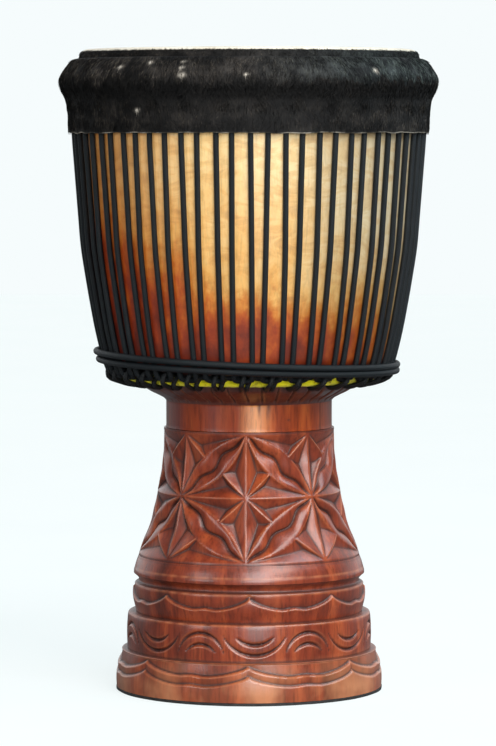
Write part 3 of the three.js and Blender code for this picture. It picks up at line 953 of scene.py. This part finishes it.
# ---------------------------------------------------------------------------------------------
# The head is one round goatskin, put on wet. It is shaved white where it is played, lapped under
# and up round the flesh ring, drawn down by the crown ring, and folded over that ring as a
# collar with its short black hair still on. The loops inside it push small bumps into it.
# ---------------------------------------------------------------------------------------------
SKIN = 0.9
LAP = 3.75
lap_turn = np.radians(np.arange(180, 451, 27))
under_skin = outline_of(
    np.stack([np.linspace(0, 157, 15), np.full(15, 619.55)], axis=-1),
    smooth_line([(157, 619.55), (159.8, 618.7), (161.9, 616.9), (163.1, 614), (163.4, 610)], 1.2),
    smooth_line([(163.4, 610), (163.5, 596), (163.8, 584), (164.15, 578)], 6),
    np.stack([FLESH_R + LAP * np.cos(lap_turn), FLESH_Z + LAP * np.sin(lap_turn)], axis=-1),
    smooth_line([(167.9, 581.75), (166.2, 583.8), (165.4, 587.5), (165.4, 606)], 4),
)
collar = smooth_line([(165.4, 606), (166.0, 609.2), (167.9, 610.4), (170.8, 608.4),
                      (173.8, 605.4), (176.4, 602), (178.8, 598), (180.8, 593.2), (181.3, 588.5),
                      (180.5, 583.5), (178, 577.5), (175.6, 571.5), (174.8, 565), (174.3, 556),
                      (174, 549), (173.2, 539.9)], 1.3)
HEM_Z = 540.7
skin_line = np.vstack([under_skin, collar])
on_collar = np.arange(len(skin_line)) >= len(under_skin)


def normals_of(line):
    """Unit vectors square to a line in radius and height, to the left of its direction."""
    way = np.gradient(line, axis=0)
    way /= np.linalg.norm(way, axis=1, keepdims=True)
    return np.stack([-way[:, 1], way[:, 0]], axis=-1)


def collar_push(height, angle):
    """How far the collar stands out at a height and angle: a bump over each loop of the crown
    ring, a slow unevenness, and a hem that flares in and out a little."""
    off = np.mod(angle - TOP_HOOK + PITCH / 2, PITCH) - PITCH / 2
    level = np.clip((height - 560) / 12, 0, 1) * np.clip((606 - height) / 10, 0, 1)
    bump = 1.5 * np.exp(-(off / 2.3) ** 2) * level
    hem = np.clip((560 - height) / 20, 0, 1)
    return bump + wander(angle, 31, 0.3, 2, 12) + hem * (wander(angle, 32, 0.5, 3, 30) + 0.35)


# The coat's white flecks: angle, height and size.
FLECKS = ((-42.5, 601, 1.5), (-31.5, 605, 1.3), (-20.4, 605.5, 1.0), (-20.4, 600, 1.1),
          (-20, 593, 1.9), (-0.8, 593.5, 1.1), (-36.6, 561, 1.5), (41, 598, 1.6),
          (130, 598, 1.8), (196, 566, 1.6))
COLLAR_R = 177


def white_flecks(height, angle):
    """1 in the middle of each white fleck of the coat, falling to 0 over its size in mm."""
    total = 0
    for middle, level, size in FLECKS:
        off = np.mod(angle - middle + 180, 360) - 180
        sideways = off * np.radians(1) * COLLAR_R
        total = total + np.exp(-(sideways / (1.5 * size)) ** 2 - ((height - level) / size) ** 2)
    return np.clip(total, 0, 1)


skin_angle = np.linspace(0, 360, 400, endpoint=False)
side = normals_of(skin_line)
sheets = []
for offset in (SKIN / 2, -SKIN / 2):
    radius = (skin_line[:, 0] - offset * side[:, 0])[:, None]
    height = (skin_line[:, 1] - offset * side[:, 1])[:, None]
    push = collar_push(skin_line[:, 1, None], skin_angle) * on_collar[:, None]
    ragged_hem = np.clip((548 - skin_line[:, 1, None]) / 9, 0, 1) * on_collar[:, None]
    radius = np.where(skin_line[:, :1] > 0, radius + push, 0)
    height = height + ragged_hem * wander(skin_angle, 33, 0.5, 5, 60)
    sheets.append(about_axis(radius, height, skin_angle))
points = np.vstack([sheets[0], sheets[1][::-1]])
hide_mesh = woven_mesh("goatskin_hide", points, closed=(False, True))

# The coat attribute: red where hair grows, green on the raw cut edge, blue on the white flecks.
haired = np.where(on_collar, 1.0, np.clip((618.4 - skin_line[:, 1]) / 2.5, 0, 1))
coat_layer = np.concatenate([np.zeros(len(haired)), haired[::-1]])
cut_edge = on_collar & (skin_line[:, 1] < HEM_Z)
edge_layer = np.concatenate([cut_edge, cut_edge[::-1]])
colours = np.zeros((len(points), len(skin_angle), 4), np.float32)
colours[..., 0] = coat_layer[:, None]
colours[..., 1] = edge_layer[:, None]
line_height = np.concatenate([skin_line[:, 1], skin_line[::-1, 1]])[:, None]
colours[..., 2] = white_flecks(line_height, skin_angle) * coat_layer[:, None]
colours[..., 3] = 1
attribute = hide_mesh.color_attributes.new("coat", "FLOAT_COLOR", "POINT")
attribute.data.foreach_set("color", colours.ravel())
weld(hide_mesh)


def coat_shade(nodes, links, where):
    """A colour to multiply the coat by: pale and bluish above the crown ring, most so on the
    right, a painted sheen; deep black in the furrow under it, painted shade; plain black
    below. The levels wander up and down with the locks of hair."""
    spot = node(nodes, "ShaderNodeSeparateXYZ")
    links.new(where, spot.inputs["Vector"])
    locks = noise(nodes, links, where, (1, 1, 0.2), 60, 4, 0.7)
    level = maths(nodes, links, "MULTIPLY_ADD", locks, 0.034, maths(
        nodes, links, "SUBTRACT", spot.outputs["Z"], 0.017))
    level = maths(nodes, links, "MULTIPLY", maths(nodes, links, "SUBTRACT", level, 0.54), 12.5)
    tall = ramp(nodes, links, level, [(0.0, 0.22), (0.30, 0.15), (0.40, 0.04), (0.56, 0.05),
                                      (0.66, 0.40), (0.84, 0.40), (0.93, 0.14)])
    side = maths(nodes, links, "MULTIPLY_ADD", spot.outputs["X"], 2.8, 0.5, clamp=True)
    above = maths(nodes, links, "GREATER_THAN", level, 0.6)
    sheen = ramp(nodes, links, maths(nodes, links, "MULTIPLY", side, above),
                 [(0.5, (0.62, 0.60, 0.58, 1)), (0.85, (0.66, 0.92, 1.0, 1))])
    return blend_colours(nodes, links, 1.0, tall, sheen, "MULTIPLY")


goatskin, nodes, links, shader = new_material("goatskin")
where = node(nodes, "ShaderNodeTexCoord").outputs["Object"]
coat = node(nodes, "ShaderNodeSeparateColor")
links.new(node(nodes, "ShaderNodeAttribute", attribute_name="coat").outputs["Color"],
          coat.inputs["Color"])
clouds = noise(nodes, links, where, (1, 1, 1), 14, 5, 0.6)
pores = noise(nodes, links, where, (1, 1, 1), 520, 3, 0.6)
lie = noise(nodes, links, where, (1, 1, 0.16), 330, 4, 0.6, 0.3)
patches = noise(nodes, links, where, (1, 1, 1.3), 42, 4, 0.6)
bare = ramp(nodes, links, clouds, [(0.28, paint(212, 198, 174)), (0.5, paint(234, 226, 208)),
                                   (0.72, paint(246, 241, 228))])
bare = blend_colours(nodes, links, 0.3, bare,
                     ramp(nodes, links, pores, [(0.36, 0.35), (0.5, 1.0)]), "MULTIPLY")
fur = ramp(nodes, links, lie, [(0.3, paint(10, 10, 11)), (0.55, paint(26, 25, 26)),
                               (0.75, paint(52, 48, 46))])
fur = blend_colours(nodes, links, ramp(nodes, links, patches, [(0.42, 0.0), (0.62, 0.9)]), fur,
                    paint(104, 99, 95))
fur = blend_colours(nodes, links, 1.0, fur, coat_shade(nodes, links, where), "MULTIPLY")
fur = blend_colours(nodes, links, coat.outputs["Blue"], fur, paint(214, 206, 192))
hairy = maths(nodes, links, "ADD", coat.outputs["Red"],
              maths(nodes, links, "MULTIPLY_ADD", lie, 0.6, -0.3))
hairy = ramp(nodes, links, hairy, [(0.35, 0.0), (0.65, 1.0)])
colour = blend_colours(nodes, links, hairy, bare, fur)
raw = maths(nodes, links, "MULTIPLY", coat.outputs["Green"],
            ramp(nodes, links, patches, [(0.42, 0.1), (0.55, 1.0)]))
colour = blend_colours(nodes, links, raw, colour, paint(206, 198, 182))
links.new(colour, shader.inputs["Base Color"])
links.new(ramp(nodes, links, hairy, [(0.0, 0.5), (1.0, 0.7)]), shader.inputs["Roughness"])
shader.inputs["Specular IOR Level"].default_value = 0.25
relief(nodes, links, shader, lie, 0.0006, 0.7)

hide = add_piece("goatskin_hide", goatskin, hide_mesh)
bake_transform(hide)
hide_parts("hide")

# The hair on the collar: short spikes that lie down the skin, root to tip, with their lean
# drifting from patch to patch. Most are black, some grey, and those in the flecks white.
HAIRS = 44000
RIM_SHARE = 0.09
chance = np.random.default_rng(23)
outer = collar[np.argmax(collar[:, 1]):]
hair_path = np.vstack([skin_line[(skin_line[:, 1] < 618.6) & (skin_line[:, 1] > 612)
                                 & (skin_line[:, 0] < 164)], outer])
hair_way = np.gradient(hair_path, axis=0)
hair_way /= np.linalg.norm(hair_way, axis=1, keepdims=True)
rim_count = len(hair_path) - len(outer)
share = chance.uniform(0, 1, HAIRS)
on_rim = share < RIM_SHARE
place = np.where(on_rim, share / RIM_SHARE * (rim_count - 1),
                 rim_count + (share - RIM_SHARE) / (1 - RIM_SHARE) * (len(outer) - 4))
steps = np.arange(len(hair_path))
root_r, root_z, way_r, way_z = (np.interp(place, steps, values) for values in (
    hair_path[:, 0], hair_path[:, 1], hair_way[:, 0], hair_way[:, 1]))
angle = chance.uniform(0, 360, HAIRS)
root_r = root_r + np.where(on_rim, 0, collar_push(root_z, angle))
out_r, out_z = -way_z, way_r
theta = np.radians(angle)
radial = np.stack([np.sin(theta), -np.cos(theta), 0 * theta], axis=-1)
sideways = np.stack([np.cos(theta), np.sin(theta), 0 * theta], axis=-1)
upright = np.array([0.0, 0.0, 1.0])
normal = radial * out_r[:, None] + upright * out_z[:, None]
down = radial * way_r[:, None] + upright * way_z[:, None]
lean = 0.16 * np.sin(theta * 7 + root_z / 9) + 0.12 * np.sin(theta * 17 - root_z / 5)
lean += chance.normal(0, 0.2, HAIRS)
lift = np.abs(chance.normal(0.04, 0.04, HAIRS)) + 0.22 * on_rim
along = down * np.cos(lean)[:, None] + sideways * np.sin(lean)[:, None] + normal * lift[:, None]
along /= np.linalg.norm(along, axis=1, keepdims=True)
across = np.cross(normal, along)
across /= np.linalg.norm(across, axis=1, keepdims=True)
length = chance.uniform(3.5, 8, HAIRS)
length = np.where(on_rim, 0.45 * length, np.minimum(length, np.maximum(root_z - 537.5, 3)))
root = radial * root_r[:, None] + upright * root_z[:, None] + normal * 0.3
half = chance.uniform(0.12, 0.24, HAIRS)[:, None] * across
spikes = np.stack([root - half, root + half, root + normal * 0.35,
                   root + along * length[:, None]], axis=1)
first = np.arange(HAIRS)[:, None, None] * 4
faces = first + np.array([(0, 2, 1), (0, 1, 3), (0, 3, 2), (1, 2, 3)])
hair_mesh = bpy.data.meshes.new("collar_hair")
hair_mesh.vertices.add(HAIRS * 4)
hair_mesh.vertices.foreach_set("co", (spikes * MM).astype(np.float32).ravel())
hair_mesh.loops.add(faces.size)
hair_mesh.loops.foreach_set("vertex_index", faces.astype(np.int32).ravel())
hair_mesh.polygons.add(HAIRS * 4)
hair_mesh.polygons.foreach_set("loop_start", np.arange(0, faces.size, 3, dtype=np.int32))
hair_mesh.polygons.foreach_set("use_smooth", np.ones(HAIRS * 4, bool))
hair_mesh.update(calc_edges=True)
colours = np.zeros((HAIRS, 4, 4), np.float32)
colours[..., 0] = (chance.uniform(0, 1, HAIRS) + 0.12 * on_rim)[:, None]
colours[..., 1] = white_flecks(root_z, angle)[:, None]
colours[..., 3] = 1
attribute = hair_mesh.color_attributes.new("tone", "FLOAT_COLOR", "POINT")
attribute.data.foreach_set("color", colours.ravel())

black_hair, nodes, links, shader = new_material("black_goat_hair")
tone = node(nodes, "ShaderNodeSeparateColor")
links.new(node(nodes, "ShaderNodeAttribute", attribute_name="tone").outputs["Color"],
          tone.inputs["Color"])
where = node(nodes, "ShaderNodeTexCoord").outputs["Object"]
drift = noise(nodes, links, where, (1, 1, 1.3), 42, 4, 0.6)
own_tone = maths(nodes, links, "SUBTRACT", tone.outputs["Red"], 0.55)
mixed = maths(nodes, links, "MULTIPLY_ADD", drift, 1.1, own_tone)
hair_colour = ramp(nodes, links, mixed, [(0.0, paint(20, 20, 21)), (0.5, paint(44, 42, 42)),
                                         (0.8, paint(110, 104, 98)), (1.0, paint(196, 186, 170))])
hair_colour = blend_colours(nodes, links, 1.0, hair_colour, coat_shade(nodes, links, where),
                            "MULTIPLY")
white = ramp(nodes, links, tone.outputs["Green"], [(0.3, 0.0), (0.6, 1.0)])
hair_colour = blend_colours(nodes, links, white, hair_colour, paint(196, 188, 174))
links.new(hair_colour, shader.inputs["Base Color"])
shader.inputs["Roughness"].default_value = 0.5
shader.inputs["Specular IOR Level"].default_value = 0.2
collar_hair = add_piece("collar_hair", black_hair, hair_mesh)
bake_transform(collar_hair)
